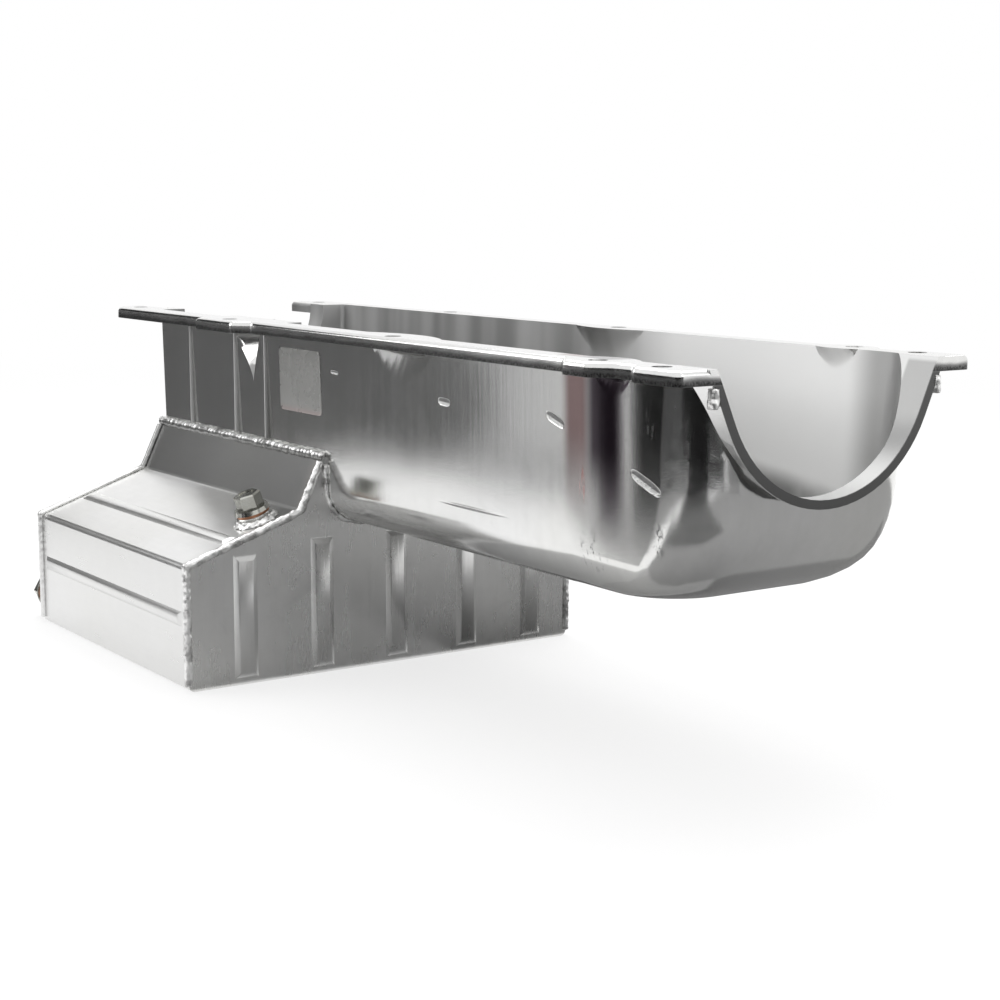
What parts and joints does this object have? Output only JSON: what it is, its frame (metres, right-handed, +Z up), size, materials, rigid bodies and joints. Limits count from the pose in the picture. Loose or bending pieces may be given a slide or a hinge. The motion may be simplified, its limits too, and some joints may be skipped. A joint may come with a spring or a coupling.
{
  "type": "engine oil pan",
  "caption": "Wet-sump engine oil pan: drawn steel body with bolted rail and seal arcs, welded rear sump with side kick-out, level plug and drain plug.",
  "frame": {"origin": "centre of the four outer side bolts on the rail's gasket face", "axes": "+X to the front of the engine, +Y to the side away from the kick-out, +Z up out of the pan, at right angles to the gasket face"},
  "size_m": [0.58, 0.2511, 0.19],
  "materials": {
    "satin_steel": "bright zinc-coated steel sheet with a satin sheen and light handling marks",
    "weld_metal": "rough grey weld bead with darker heat tint",
    "machined_steel": "machined steel",
    "copper": "dull copper sealing washer",
    "zinc_plate": "bright zinc plating with a faint yellow cast"
  },
  "bodies": {
    "root": {"pan_body": "satin_steel", "sump_sheet": "satin_steel", "sump_front_plate": "satin_steel", "sump_rear_plate": "satin_steel", "weld_near_lap": "weld_metal", "weld_far_lap": "weld_metal", "weld_front_near_edge": "weld_metal", "weld_front_far_edge": "weld_metal", "weld_rear_near_edge": "weld_metal", "weld_rear_far_edge": "weld_metal", "weld_front_body": "weld_metal", "weld_rear_body": "weld_metal", "arc_end_dabs": "weld_metal", "level_bung": "machined_steel", "level_bung_weld": "weld_metal", "level_washer": "copper", "level_plug": "zinc_plate", "drain_bung": "machined_steel", "drain_bung_weld": "weld_metal", "drain_washer": "copper", "drain_plug": "zinc_plate"}
  },
  "joints": []
}
